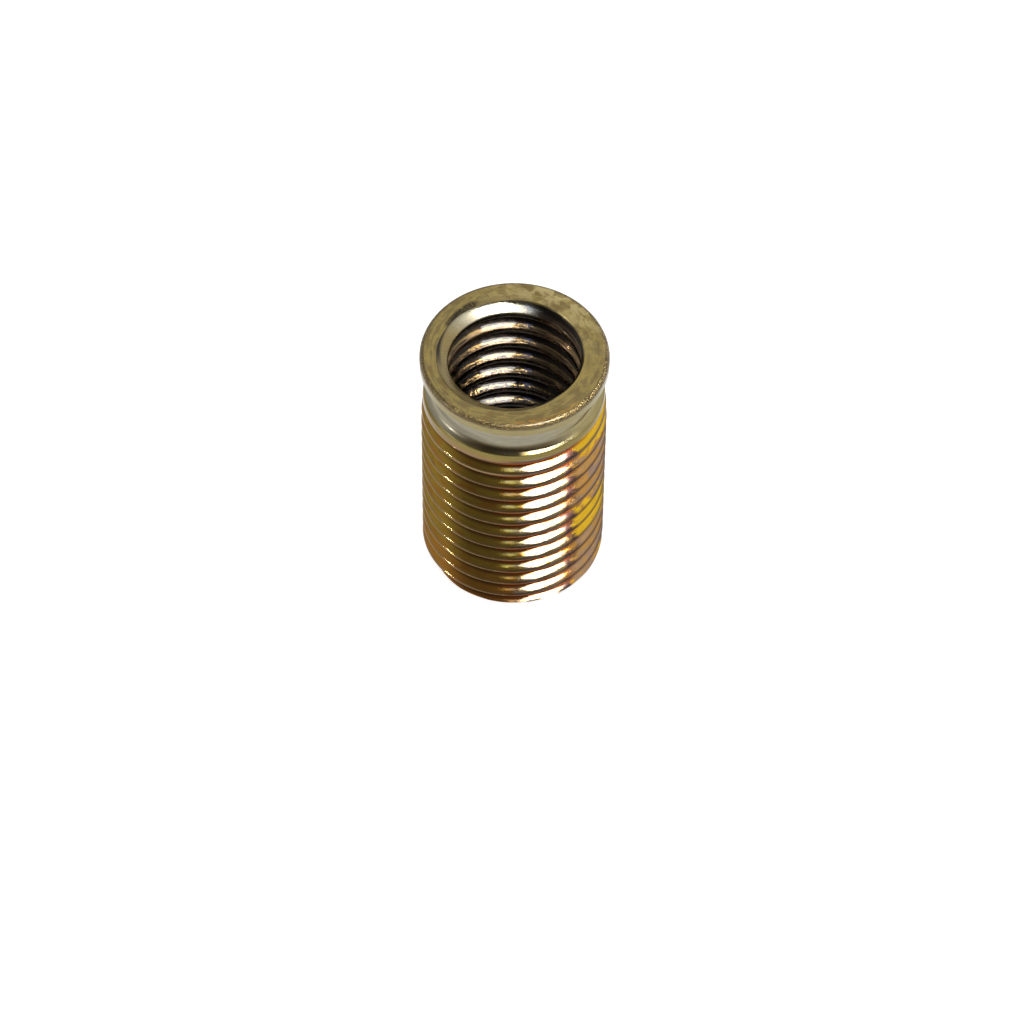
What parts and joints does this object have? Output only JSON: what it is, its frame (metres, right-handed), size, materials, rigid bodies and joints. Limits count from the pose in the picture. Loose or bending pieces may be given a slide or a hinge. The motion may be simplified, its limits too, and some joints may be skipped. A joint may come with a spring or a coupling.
{
  "type": "threaded insert",
  "caption": "Flanged steel thread sleeve: a coarse thread inside, a finer thread outside, a relief neck and a thin collar that seats in a countersink.",
  "frame": {"origin": "centre of the bottom face, on the axis of the threads", "axes": "+Z along the axis, from the bottom end up to the collar; -Y is the front, as in the picture"},
  "size_m": [0.012, 0.012, 0.0186],
  "materials": {
    "yellow_zinc_steel": "steel with a glossy yellow zinc plating, olive to amber with a faint iridescence"
  },
  "bodies": {
    "root": {"insert": "yellow_zinc_steel"}
  },
  "joints": []
}
